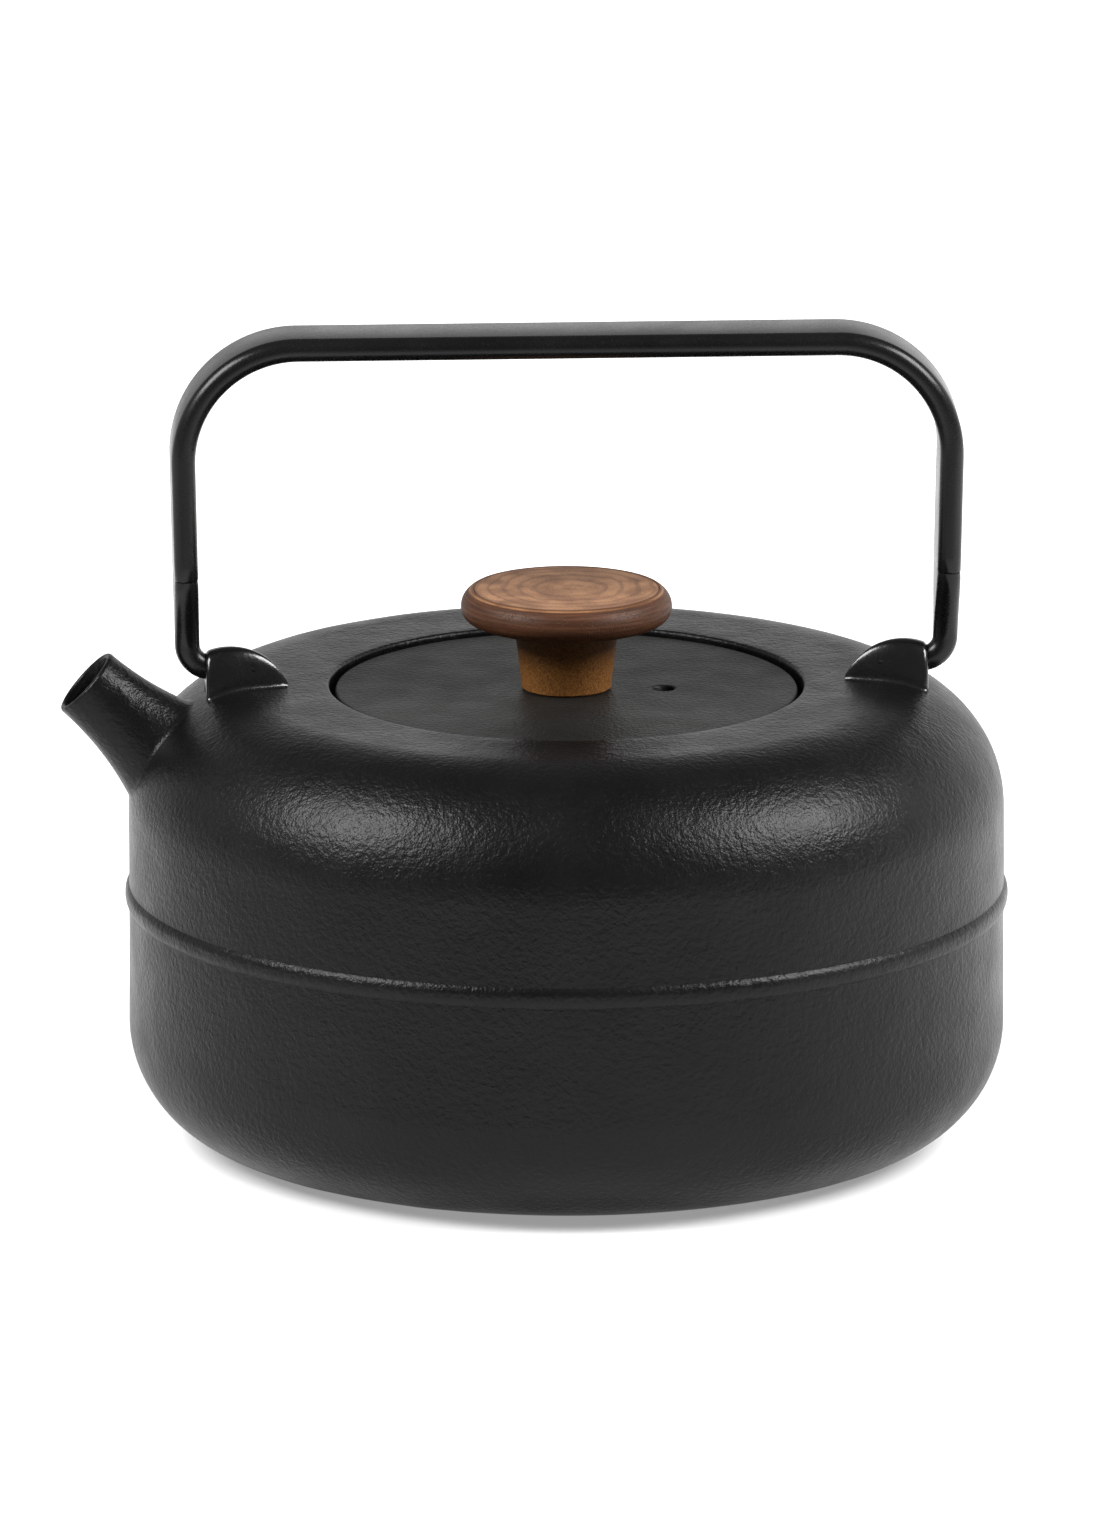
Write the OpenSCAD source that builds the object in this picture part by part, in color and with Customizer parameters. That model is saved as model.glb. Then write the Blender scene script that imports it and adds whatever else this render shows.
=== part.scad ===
// Cast iron teapot with a swinging bail handle, a recessed lid with a turned wooden
// knob, and a lift-out tea infuser.
// Frame: the origin is the middle of the flat base, +Z is up, the spout points to -X
// and the bail swings about the X direction. Units are millimetres.

/* [Body] */
// Radius of the straight side wall
body_r = 88; // [86:0.5:90]
// Height of the flat top above the base
body_h = 93; // [92:0.5:95]
// Thickness of the cast wall
wall = 3.4; // [3:0.1:4.5]
// Radius of the rounding between base and side
foot_round = 24; // [18:1:26]
// Radius of the rounding between side and top
shoulder_round = 25; // [22:1:25]
// Height of the casting rib round the middle
rib_z = 50; // [45:1:55]
// Width of the casting rib
rib_w = 3.8; // [3:0.1:5]
// How far the rib stands out from the wall
rib_out = 0.8; // [0.4:0.1:1.2]

/* [Mouth] */
// Radius of the recess that takes the lid
mouth_r = 47.5; // [46:0.5:48]
// Radius of the way into the pot, inside the ledge
ledge_r = 43.5; // [42.5:0.5:44.5]
// Depth of the ledge below the flat top
ledge_depth = 5; // [4.6:0.1:6]
// Height of the collar that carries the ledge
collar_h = 9; // [8:0.5:12]

/* [Spout] */
// Rise of the spout's axis above the horizontal, in degrees
spout_rise = 42; // [38:1:46]
// Distance of the middle of the spout's mouth from the body's axis
spout_x = 96.7; // [94:0.1:99]
// Height of the middle of the spout's mouth
spout_z = 94.5; // [91:0.5:96]
// Outside diameter at the spout's mouth
spout_mouth_d = 15.1; // [14:0.1:16]
// Radius of the hollow curve by which the spout flares to the body
spout_flare_r = 62; // [50:1:80]
// Thickness of the spout's lip
spout_lip = 1.3; // [1:0.1:1.6]
// Diameter of the pouring channel
channel_d = 11; // [9:0.5:11.5]

/* [Lugs] */
// Distance of a lug's flat outer face from the body's axis
lug_x = 72.5; // [72:0.1:73]
// Height of the top of the lugs
lug_top = 101.2; // [100.8:0.1:102.5]
// Width of a lug
lug_w = 10; // [9:0.5:12]
// Radius of the curve of a lug's back
lug_r = 12.6; // [12:0.1:14]
// Radius of the edges along a lug's back
lug_edge = 3; // [2:0.1:3.5]

/* [Handle] */
// Height of the axis that the bail swings about
pivot_z = 97; // [96.5:0.1:97.2]
// Depth of the flat bar, front to back
bar_w = 16; // [13:0.5:16]
// Thickness of the flat bar
bar_t = 4.8; // [4:0.1:5.4]
// Height of the middle of the top bar
bar_z = 163.4; // [158:0.2:170]
// Greatest distance of an upright's middle from the body's axis
bar_x = 77; // [76.8:0.1:78]
// Radius of the bail's upper corners, at the middle of the bar
corner_r = 23; // [18:1:28]
// Lean of the uprights, in degrees
lean = 1.3; // [0:0.1:1.5]
// Height of the joint between the strap and its forged ends
seam_z = 116.8; // [112:0.2:118]
// Diameter of the round pins at the bail's ends
pin_d = 4.6; // [4.2:0.1:4.8]
// Radius of the bend above each pin, at the middle of the rod
bend_r = 4.8; // [4.4:0.1:5]
// Depth of the hole for the pin in a lug
pin_hole_depth = 10; // [8:0.5:11]

/* [Lid] */
// Radius of the lid
lid_r = 46.5; // [45.5:0.1:46.6]
// Drop of the lid's top below the body's flat top
lid_drop = 1; // [0.6:0.1:1.6]
// Diameter of the vent hole
vent_d = 4.5; // [3:0.5:6]
// Distance of the vent hole from the lid's middle
vent_x = 19.5; // [18:0.5:30]
// Bearing of the vent hole from the +X direction, in degrees
vent_angle = -5; // [-30:5:30]
// Depth of the skirt that keeps the lid in place
skirt_h = 7; // [5:0.5:10]

/* [Knob] */
// Diameter of the knob's head
knob_d = 42.4; // [38:0.2:46]
// Height of the knob above the lid
knob_h = 20.4; // [19:0.2:24]
// Thickness of the knob's head
knob_head_t = 6.8; // [6:0.2:9]
// Diameter of the stem under the head
stem_top_d = 21.2; // [18:0.2:24]
// Diameter of the stem at the lid
stem_foot_d = 18; // [15:0.2:20]

/* [Infuser] */
// Outside radius of the infuser's wall
infuser_r = 41.4; // [41:0.1:42]
// Thickness of the infuser's sheet
sheet = 0.8; // [0.6:0.1:1]
// Depth of the infuser below its rim
infuser_depth = 38; // [30:1:60]

/* [Hidden] */
$fn = 96;

iron = [0.16, 0.16, 0.155];
lid_iron = [0.2, 0.2, 0.19];
bail_iron = [0.1, 0.1, 0.1];
wood = [0.42, 0.25, 0.16];
brass = [0.78, 0.62, 0.3];
steel = [0.72, 0.73, 0.74];

far = 200;                                // longer than the pot, for cuts that go right through
over = 1;                                 // how far a cutting tool passes a face
ledge_z = body_h - ledge_depth;           // where the infuser's rim rests
lid_z = body_h - lid_drop;                // the lid's top
lid_rim_z = ledge_z + sheet;              // the lid rests on the infuser's rim
skirt_gap = 0.8;                          // between the lid's skirt and the infuser's wall
skirt_t = 2.2;
collar_r = mouth_r + wall;                // outside of the collar under the ledge
inner_r = body_r - wall;
spout_len = 34;                           // from the mouth to well inside the body
running = 0.06;                           // radial clearance of a pin in its hole
relief_r = pin_d / 2 + 0.45;              // mouth of the pin hole, which clears the bend
relief_depth = 1.5;
upright_z = bar_z - corner_r;             // height of the corners' centres
screw_d = 4;                              // M4
thread_gap = 0.05;
screw_hole_d = 4.5;
washer_r = 4.5;
washer_t = 1;
head_r = 4;
head_h = 2.4;
insert_r = 4;
insert_h = 9.5;
insert_gap = 0.3;                         // between the insert's foot and the lid
infuser_rim_r = 46.3;
perforation_d = 4;

// Half section of a drum with rounded edges
module drum_section(r, low, high, low_round, high_round) {
    translate([r - low_round, low + low_round]) quarter(low_round, -1);
    translate([r - high_round, high - high_round]) quarter(high_round, 1);
    translate([0, low]) square([r - low_round, high - low]);
    translate([r - low_round, low + low_round])
        square([low_round, high - high_round - low - low_round]);
    if (high_round > low_round)
        translate([r - high_round, low + low_round])
            square([high_round - low_round, high - high_round - low - low_round]);
    translate([r - high_round, high - high_round - over]) square([high_round, over]);
}

// A quarter disc to the right of the origin, above (side 1) or below (side -1) the X axis
module quarter(r, side) {
    intersection() {
        circle(r);
        translate([0, side > 0 ? 0 : -r]) square(r);
    }
}

module body_section() drum_section(body_r, 0, body_h, foot_round, shoulder_round);

module body_outer() rotate_extrude() body_section();

// Along the spout's axis: Z runs outward and the origin is the middle of the mouth
module at_spout() {
    translate([-spout_x, 0, spout_z]) rotate([0, spout_rise - 90, 0]) children();
}

module channel() {
    at_spout() translate([0, 0, -spout_len]) cylinder(d = channel_d, h = spout_len + over);
}

module rib_section() {
    rib_arc = (rib_w * rib_w / 4 + rib_out * rib_out) / (2 * rib_out);
    intersection() {
        translate([body_r + rib_out - rib_arc, rib_z]) circle(rib_arc);
        translate([body_r - wall / 2, rib_z - rib_w]) square([wall, 2 * rib_w]);
    }
}

// Half section of the hollow body, with the rib and the collar that carries the ledge
module casting_section() {
    difference() {
        union() {
            difference() {
                union() {
                    body_section();
                    rib_section();
                }
                drum_section(inner_r, wall, body_h - wall, foot_round - wall, shoulder_round - wall);
            }
            translate([0, body_h - collar_h]) square([collar_r, collar_h - wall / 2]);
        }
        translate([0, ledge_z]) square([mouth_r, far]);
        translate([0, body_h - collar_h - over]) square([ledge_r, far]);
    }
}

// The body is one casting. It is cut square to its wall into rings that don't overlap:
// this is the ring between two radii and two heights
module casting(r1, z1, r2, z2) {
    color(iron) rotate_extrude() intersection() {
        casting_section();
        translate([r1, z1]) square([r2 - r1, z2 - z1]);
    }
}

module body_floor() casting(0, 0, body_r - foot_round, foot_round);
module body_foot() casting(body_r - foot_round, 0, body_r, foot_round);
module body_wall() casting(0, foot_round, far, body_h - shoulder_round);
module body_top() casting(collar_r, body_h - wall, body_r - shoulder_round, body_h);
module body_ledge() casting(0, body_h - collar_h, collar_r, ledge_z);
module mouth_lip() casting(0, ledge_z, collar_r, body_h);

module body_shoulder() {
    difference() {
        casting(body_r - shoulder_round, body_h - shoulder_round, body_r, body_h);
        channel();
    }
}

module spout() {
    flare_x = spout_mouth_d / 2 + spout_flare_r;
    color(iron) difference() {
        at_spout() difference() {
            rotate_extrude() difference() {
                translate([0, -spout_len]) square([spout_flare_r / 2, spout_len]);
                translate([flare_x, 0]) circle(spout_flare_r, $fn = 720);
            }
            translate([0, 0, -spout_lip * 4])
                cylinder(d1 = channel_d, d2 = spout_mouth_d - 2 * spout_lip, h = spout_lip * 4);
        }
        body_outer();
        channel();
    }
}

// side is -1 for the left lug, above the spout, and 1 for the right one
module lug(side) {
    hub = lug_r - lug_edge;
    color(iron) difference() {
        translate([side * (lug_x - 5), 0, lug_top - lug_r]) rotate([90, 0, 0]) rotate_extrude() {
            translate([0, -lug_w / 2]) square([hub, lug_w]);
            translate([0, -lug_w / 2 + lug_edge]) square([lug_r, lug_w - 2 * lug_edge]);
            for (s = [-1, 1])
                translate([hub, s * (lug_w / 2 - lug_edge)]) circle(lug_edge);
        }
        translate([side > 0 ? lug_x : -lug_x - far, -far / 2, 0]) cube([far, far, far]);
        body_outer();
        translate([side * (lug_x - pin_hole_depth), 0, pivot_z]) rotate([0, side * 90, 0])
            cylinder(r = pin_d / 2 + running, h = pin_hole_depth + over);
        translate([side * (lug_x - relief_depth), 0, pivot_z]) rotate([0, side * 90, 0])
            cylinder(r = relief_r, h = relief_depth + over);
    }
}

module lug_left() lug(-1);
module lug_right() lug(1);

module lid_plate() {
    color(lid_iron) difference() {
        translate([0, 0, lid_rim_z]) cylinder(r = lid_r, h = lid_z - lid_rim_z);
        cylinder(d = screw_hole_d, h = far);
        rotate(vent_angle) translate([vent_x, 0, 0]) cylinder(d = vent_d, h = far);
    }
}

// Ring under the lid, cast in one with it, that keeps the lid in the infuser's mouth
module lid_skirt() {
    skirt_r = infuser_r - sheet - skirt_gap;
    color(lid_iron) translate([0, 0, lid_rim_z - skirt_h]) difference() {
        cylinder(r = skirt_r, h = skirt_h);
        translate([0, 0, -over]) cylinder(r = skirt_r - skirt_t, h = skirt_h + 2 * over);
    }
}

module knob() {
    head_round = knob_head_t / 2;
    head_z = lid_z + knob_h - knob_head_t;
    color(wood) difference() {
        union() {
            translate([0, 0, head_z]) rotate_extrude() {
                square([knob_d / 2 - head_round, knob_head_t]);
                translate([knob_d / 2 - head_round, head_round]) quarter(head_round, 1);
                translate([knob_d / 2 - head_round, head_round]) quarter(head_round, -1);
            }
            translate([0, 0, lid_z])
                cylinder(d1 = stem_foot_d, d2 = stem_top_d, h = head_z - lid_z + over);
        }
        translate([0, 0, lid_z - over])
            cylinder(r = insert_r, h = insert_h + insert_gap + over);
        translate([0, 0, lid_z - over]) cylinder(d = screw_d + 1, h = insert_h + 3 + over);
    }
}

module knob_insert() {
    color(brass) difference() {
        translate([0, 0, lid_z + insert_gap]) cylinder(r = insert_r, h = insert_h);
        cylinder(d = screw_d, h = far);
    }
}

// Pan head screw from under the lid, with a cross slot in its head
module knob_screw() {
    seat_z = lid_rim_z - washer_t;
    color(steel) difference() {
        union() {
            translate([0, 0, seat_z - head_h]) cylinder(r = head_r, h = head_h);
            translate([0, 0, seat_z - over])
                cylinder(d = screw_d - 2 * thread_gap, h = lid_z - seat_z + insert_h + over);
        }
        for (turn = [0, 90]) rotate(turn)
            translate([-head_r * 0.7, -0.5, seat_z - head_h - over])
                cube([head_r * 1.4, 1, 1.4 + over]);
    }
}

module knob_washer() {
    color(steel) translate([0, 0, lid_rim_z - washer_t]) difference() {
        cylinder(r = washer_r, h = washer_t);
        translate([0, 0, -over]) cylinder(d = screw_hole_d, h = washer_t + 2 * over);
    }
}

// Section of the bar: flat faces and fully round edges. X is its thickness
module bar_section() {
    half = bar_w / 2 - bar_t / 2;
    square([bar_t, 2 * half], center = true);
    for (s = [-1, 1]) translate([0, s * half]) circle(d = bar_t);
}

// Where an upright's middle line is at height z, on the right side
function upright_x(z) = bar_x - max(0, upright_z - z) * tan(lean);

// The right half of the bail: corner, leaning upright and half of the top bar
module half_strap() {
    flat = bar_x - corner_r;
    union() {
        translate([flat, 0, upright_z]) rotate([90, 0, 0])
            rotate([0, 0, -lean]) rotate_extrude(angle = 90 + lean)
                translate([corner_r, 0]) bar_section();
        translate([flat, 0, upright_z]) rotate([0, lean, 0])
            translate([corner_r, 0, seam_z - upright_z]) linear_extrude(upright_z - seam_z)
                bar_section();
    }
    translate([flat, 0, bar_z]) rotate([0, -90, 0]) linear_extrude(flat) bar_section();
}

module handle_strap() {
    color(bail_iron) {
        half_strap();
        mirror([1, 0, 0]) half_strap();
    }
}

// The forged ends, on the right side: where the rod begins below the flat bar's taper
bend_z = pivot_z + bend_r;
rod_x = upright_x(bend_z);

// Flat bar drawn down to a round rod
module taper() {
    slice = 0.2;
    hull() {
        translate([bar_x - corner_r, 0, upright_z]) rotate([0, lean, 0])
            translate([corner_r, 0, seam_z - upright_z - slice]) linear_extrude(slice)
                bar_section($fn = 32);
        translate([rod_x, 0, bend_z + slice]) cylinder(d = pin_d + 0.1, h = slice, $fn = 32);
    }
}

// Rod bent inward by a right angle, and the straight pin beyond the bend
module bent_pin() {
    pin_end = lug_x - pin_hole_depth + 0.4;
    translate([rod_x - bend_r, 0, bend_z]) rotate([90, 0, 0])
        rotate([0, 0, -90]) rotate_extrude(angle = 90) translate([bend_r, 0]) circle(d = pin_d);
    translate([pin_end, 0, pivot_z]) rotate([0, 90, 0])
        cylinder(d = pin_d, h = rod_x - bend_r - pin_end);
}

module forged_end() {
    taper();
    union() {
        translate([rod_x, 0, bend_z]) cylinder(d = pin_d, h = over);
        bent_pin();
    }
}

module handle_end_right() {
    color(bail_iron) forged_end();
}

module handle_end_left() {
    color(bail_iron) mirror([1, 0, 0]) forged_end();
}

module infuser_rim() {
    color(steel) translate([0, 0, ledge_z]) difference() {
        cylinder(r = infuser_rim_r, h = sheet);
        translate([0, 0, -over]) cylinder(r = infuser_r - sheet, h = sheet + 2 * over);
    }
}

module infuser_wall() {
    color(steel) translate([0, 0, ledge_z - infuser_depth]) difference() {
        cylinder(r = infuser_r, h = infuser_depth);
        translate([0, 0, -over]) cylinder(r = infuser_r - sheet, h = infuser_depth + 2 * over);
    }
}

// The infuser's bottom, with rings of draining holes
module infuser_base() {
    color(steel) translate([0, 0, ledge_z - infuser_depth]) difference() {
        cylinder(r = infuser_r - sheet, h = sheet);
        for (ring = [1:3], i = [0:6 * ring - 1])
            rotate(i * 60 / ring) translate([ring * 10, 0, -over])
                cylinder(d = perforation_d, h = sheet + 2 * over);
    }
}

body_floor();
body_foot();
body_wall();
body_shoulder();
body_top();
body_ledge();
mouth_lip();
spout();
lug_left();
lug_right();
lid_plate();
lid_skirt();
knob();
knob_insert();
knob_screw();
knob_washer();
handle_strap();
handle_end_left();
handle_end_right();
infuser_rim();
infuser_wall();
infuser_base();
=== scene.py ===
# %% [markdown]
# # A cast iron teapot, piece by piece
# The pot is cast iron, with a short spout and two fin-shaped lugs that are part of the
# casting. A flat bar, bent to a bail, swings in the lugs. The lid lies in a recess of the
# flat top and carries a turned wooden knob, and an infuser for the leaves hangs under it.
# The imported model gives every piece's place and size, so it is loaded first and the
# looks are built around it. Lengths in this file are millimetres, and the factor `MM`
# turns finished points into Blender's unit, the metre.

# %% The frame
import math

import bmesh
import bpy
from mathutils import Matrix, Vector, noise


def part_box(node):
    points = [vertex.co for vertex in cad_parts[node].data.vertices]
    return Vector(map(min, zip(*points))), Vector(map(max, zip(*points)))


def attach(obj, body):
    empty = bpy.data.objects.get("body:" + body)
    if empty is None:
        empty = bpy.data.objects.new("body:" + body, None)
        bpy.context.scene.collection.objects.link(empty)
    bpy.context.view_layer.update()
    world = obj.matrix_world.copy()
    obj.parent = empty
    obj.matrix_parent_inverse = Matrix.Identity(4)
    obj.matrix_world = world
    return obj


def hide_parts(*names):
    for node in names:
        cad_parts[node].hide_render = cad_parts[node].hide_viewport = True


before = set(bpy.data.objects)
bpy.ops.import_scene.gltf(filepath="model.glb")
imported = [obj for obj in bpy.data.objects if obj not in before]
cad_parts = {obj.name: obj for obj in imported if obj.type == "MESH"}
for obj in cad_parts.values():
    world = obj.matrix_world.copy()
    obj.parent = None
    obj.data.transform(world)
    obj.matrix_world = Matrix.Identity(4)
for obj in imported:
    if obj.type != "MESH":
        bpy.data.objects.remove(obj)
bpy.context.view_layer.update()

MM = 0.001


def box_mm(node):
    """A CAD node's lowest and highest corners, in millimetres."""
    low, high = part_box(node)
    return low / MM, high / MM


# %% [markdown]
# ## Lines and skins
# Most pieces of a teapot are turned or drawn: an outline that goes round an axis, or a
# section that runs along a line. Both are rings of points with a skin of quads between
# them, so one `skin` function serves the whole pot. Arcs come from a formula, so that a
# rounding stays round at any number of steps.

# %% Arcs, outlines and skins


def arc(centre, radius, start, end, steps):
    """Points along an arc in a plane, from angle start to angle end, in degrees."""
    cx, cy = centre
    turn = [math.radians(start + (end - start) * i / steps) for i in range(steps + 1)]
    return [(cx + radius * math.cos(a), cy + radius * math.sin(a)) for a in turn]


def line(start, end, step):
    """Points from start to end, about step apart, without the end point itself."""
    count = max(1, round(math.dist(start, end) / step))
    return [tuple(s + (e - s) * i / count for s, e in zip(start, end)) for i in range(count)]


def skin(name, rings, closed=False, cap_first=False, cap_last=False):
    """A mesh object of quads between rings that all have the same number of points."""
    size = len(rings[0])
    points = [Vector(p) * MM for ring in rings for p in ring]
    faces = []
    pairs = len(rings) if closed else len(rings) - 1
    for i in range(pairs):
        a, b = i * size, (i + 1) % len(rings) * size
        faces += [(a + k, a + (k + 1) % size, b + (k + 1) % size, b + k) for k in range(size)]
    if cap_first:
        faces.append(tuple(range(size - 1, -1, -1)))
    if cap_last:
        faces.append(tuple(range(len(points) - size, len(points))))
    mesh = bpy.data.meshes.new(name)
    mesh.from_pydata(points, [], faces)
    piece = bpy.data.objects.new(name, mesh)
    bpy.context.scene.collection.objects.link(piece)
    tidy_mesh(piece)
    return piece


same_place = 0.002
no_length = 0.001
crease_angle = math.radians(35)


def tidy_mesh(piece):
    """Joins points that coincide, turns faces outward and shades all but creases smooth."""
    work = bmesh.new()
    work.from_mesh(piece.data)
    bmesh.ops.remove_doubles(work, verts=work.verts, dist=same_place * MM)
    bmesh.ops.dissolve_degenerate(work, edges=work.edges, dist=no_length * MM)
    bmesh.ops.recalc_face_normals(work, faces=work.faces)
    work.to_mesh(piece.data)
    work.free()
    piece.data.shade_smooth()
    piece.data.set_sharp_from_angle(angle=crease_angle)


def turned(name, outline, around):
    """Turns a closed outline of (radius, height) round the Z axis, in around steps."""
    turn = [2 * math.pi * k / around for k in range(around)]
    rings = [[(r * math.cos(a), r * math.sin(a), z) for a in turn] for r, z in outline]
    return skin(name, rings, closed=True)


def cut(piece, tool):
    """Takes tool's volume out of piece, for good."""
    bpy.context.view_layer.objects.active = piece
    knife = piece.modifiers.new("cut", "BOOLEAN")
    knife.operation = "DIFFERENCE"
    knife.solver = "MANIFOLD"
    knife.object = tool
    before = len(piece.data.polygons)
    bpy.ops.object.modifier_apply(modifier=knife.name)
    bpy.data.objects.remove(tool)
    piece.data.materials.clear()
    tidy_mesh(piece)
    print(piece.name, "cut:", before, "->", len(piece.data.polygons), "faces")


def place(piece, body, *nodes, slot):
    """Makes a finished piece stand for its CAD nodes, and move with their body."""
    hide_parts(*nodes)
    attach(piece, body)
    print(piece.name, len(piece.data.polygons), "faces, rides on", body)


# %% [markdown]
# ## Shader arithmetic
# A finish is a little calculation on every point of the surface. Node trees hide that
# behind boxes and wires, so a small class wraps a socket and lets Python's own
# operators add the Math nodes. Colours and vectors have their own nodes, since a Math
# node would turn a colour grey. Every other node comes from `Nodes.node`.

# %% Sockets that add and multiply


class Wire:
    """One output socket. A sum or product of wires adds a Math node."""

    def __init__(self, nodes, socket):
        self.nodes = nodes
        self.socket = socket

    def math(self, operation, first, second):
        return self.nodes.node("ShaderNodeMath", {"operation": operation}, {0: first, 1: second})

    def __add__(self, other):
        return self.math("ADD", self, other)

    __radd__ = __add__

    def __sub__(self, other):
        return self.math("SUBTRACT", self, other)

    def __rsub__(self, other):
        return self.math("SUBTRACT", other, self)

    def __mul__(self, other):
        return self.math("MULTIPLY", self, other)

    __rmul__ = __mul__


class Nodes:
    """A node tree that is built by calls. point is the place that is being shaded."""

    def __init__(self, tree, coordinates):
        self.tree = tree
        self.point = Wire(self, tree.nodes.new("ShaderNodeTexCoord").outputs[coordinates])

    def feed(self, socket, value):
        if isinstance(value, Wire):
            self.tree.links.new(value.socket, socket)
        else:
            socket.default_value = value

    def node(self, kind, settings=None, sockets=None, out=0):
        """Adds a node, gives it its settings and then its sockets, and returns one output."""
        made = self.tree.nodes.new(kind)
        for key, value in (settings or {}).items():
            if key == "stops":
                self.stops(made.color_ramp, value)
            else:
                setattr(made, key, value)
        for key, value in (sockets or {}).items():
            self.feed(made.inputs[key], value)
        return Wire(self, made.outputs[out])

    def stops(self, ramp, stops):
        while len(ramp.elements) < len(stops):
            ramp.elements.new(1)
        for element, (where, colour) in zip(ramp.elements, stops):
            element.position = where
            element.color = (*colour, 1) if len(colour) == 3 else colour

    def blend(self, amount, first, second, kind="MIX"):
        """Mixes two colours."""
        settings = {"data_type": "RGBA", "blend_type": kind, "clamp_factor": True}
        return self.node("ShaderNodeMix", settings, {0: amount, 6: first, 7: second}, out=2)

    def noise(self, size, detail=2.0, roughness=0.5, at=None, stretch=(1, 1, 1)):
        """Even noise from 0 to 1 whose lumps are about size millimetres across."""
        scale = tuple(s / (size * MM) for s in stretch)
        scaled = self.vector("MULTIPLY", at or self.point, scale)
        sockets = {"Vector": scaled, "Scale": 1.0, "Detail": detail, "Roughness": roughness}
        return self.node("ShaderNodeTexNoise", {"noise_dimensions": "3D"}, sockets)

    def ramp(self, value, low, high):
        """0 where value is under low, 1 where it is over high, smooth between them."""
        settings = {"interpolation_type": "SMOOTHSTEP"}
        sockets = {"Value": value, "From Min": low, "From Max": high}
        return self.node("ShaderNodeMapRange", settings, sockets)

    def relief(self, height, depth, under=None):
        """A bump of the given depth in millimetres where height goes from 0 to 1."""
        sockets = {"Height": height, "Distance": depth * MM, "Strength": 1.0}
        if under:
            sockets["Normal"] = under
        return self.node("ShaderNodeBump", None, sockets)

    def vector(self, operation, first, second, out=0):
        """Adds a Vector Math node."""
        settings = {"operation": operation}
        return self.node("ShaderNodeVectorMath", settings, {0: first, 1: second}, out)

    def length(self, vector):
        return self.vector("LENGTH", vector, (0, 0, 0), out=1)

    def axis(self, name):
        """One coordinate, X, Y or Z, of the place."""
        return self.node("ShaderNodeSeparateXYZ", None, {0: self.point}, out="XYZ".index(name))


class Finish(Nodes):
    """A material. The last step is `surface`, which fills the shader's sockets."""

    def __init__(self, name):
        self.material = bpy.data.materials.new(name)
        self.material.use_nodes = True
        super().__init__(self.material.node_tree, "Object")
        self.shader = self.tree.nodes["Principled BSDF"]

    def surface(self, **sockets):
        for key, value in sockets.items():
            self.feed(self.shader.inputs[key.replace("_", " ")], value)
        return self.material


# %% [markdown]
# ## The pot casting
# The pot is poured in one go in a sand mould, so the body, the spout and the lugs have
# no seams between them, only soft fillets, and a low rib shows where the mould's halves
# met. The body could be a cylinder with bevelled edges, but a turned outline gives the
# true radii, the rib, the recess for the lid and the hollow inside at once. A casting is
# never quite even, so its faces are pushed in by a tenth of a millimetre, more or less.

# %% The body's outline
rib_out = 0.8
body_r = box_mm("body_wall")[1].x - rib_out
body_h = box_mm("body_top")[1].z
foot_round = 24
shoulder_round = 25
wall = 3.4
rib_z = 50
rib_w = 3.8
mouth_r = 47.5
ledge_r = 43.5
ledge_z = body_h - 5
collar_z = body_h - 9
lip_round = 0.9
rib_steps = 24


def rib_outline():
    """The rib's low back, nearly flat, with a clear edge above and below."""
    half = rib_w / 2 + 0.3
    points = []
    for i in range(rib_steps + 1):
        along = -1 + i / (rib_steps // 2)
        swell = (1 - abs(along) ** 2.4) ** 0.9
        points.append((body_r + rib_out * swell, rib_z + along * half))
    return points


def body_outline():
    outside = line((0.01, 0), (body_r - foot_round, 0), 5)
    outside += arc((body_r - foot_round, foot_round), foot_round, -90, 0, 36)
    outside += line((body_r, foot_round + 1), (body_r, rib_z - rib_w), 1.6)
    outside += rib_outline()
    outside += line((body_r, rib_z + rib_w), (body_r, body_h - shoulder_round), 1.6)
    outside += arc((body_r - shoulder_round, body_h - shoulder_round), shoulder_round, 0, 90, 40)
    outside += line((body_r - shoulder_round - 1, body_h), (mouth_r + lip_round, body_h), 1.6)
    outside += arc((mouth_r + lip_round, body_h - lip_round), lip_round, 90, 180, 6)
    recess = line((mouth_r, body_h - 1.5), (mouth_r, ledge_z + 0.4), 0.8)
    recess += line((mouth_r, ledge_z), (ledge_r + 0.4, ledge_z), 0.8)
    recess += arc((ledge_r + 0.4, ledge_z - 0.4), 0.4, 90, 180, 3)
    recess += line((ledge_r, ledge_z - 0.8), (ledge_r, collar_z + 0.5), 1)
    recess += arc((ledge_r + 0.5, collar_z + 0.5), 0.5, 180, 270, 3)
    recess += line((ledge_r + 1, collar_z), (mouth_r + wall, collar_z), 1.5)
    inner_r = body_r - wall
    inner_shoulder = shoulder_round - wall
    inner_foot = foot_round - wall
    inside = line((mouth_r + wall, collar_z), (mouth_r + wall, body_h - wall), 1.5)
    inside += line((mouth_r + wall, body_h - wall), (inner_r - inner_shoulder, body_h - wall), 3)
    inside += arc((inner_r - inner_shoulder, body_h - shoulder_round), inner_shoulder, 90, 0, 16)
    inside += line((inner_r, body_h - shoulder_round - 3), (inner_r, foot_round + 3), 5)
    inside += arc((inner_r - inner_foot, foot_round), inner_foot, 0, -90, 16)
    inside += line((inner_r - inner_foot - 4, wall), (0.01, wall), 6)
    return outside + recess + inside + [(0.01, wall)]


print("body radius", round(body_r, 2), "height", round(body_h, 2))

# %% The body's uneven faces
cast_depth = 0.11
wide_waves, short_waves = 23, 7
standing_z = 0.5


def unevenness(point):
    """How far a casting's face lies under its pattern, in millimetres, at a place."""
    slow = noise.noise(Vector(point) / wide_waves)
    quick = noise.noise(Vector(point) / short_waves + Vector((9, 4, 2)))
    return cast_depth * (0.5 + 0.35 * slow + 0.15 * quick) * 2


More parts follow.
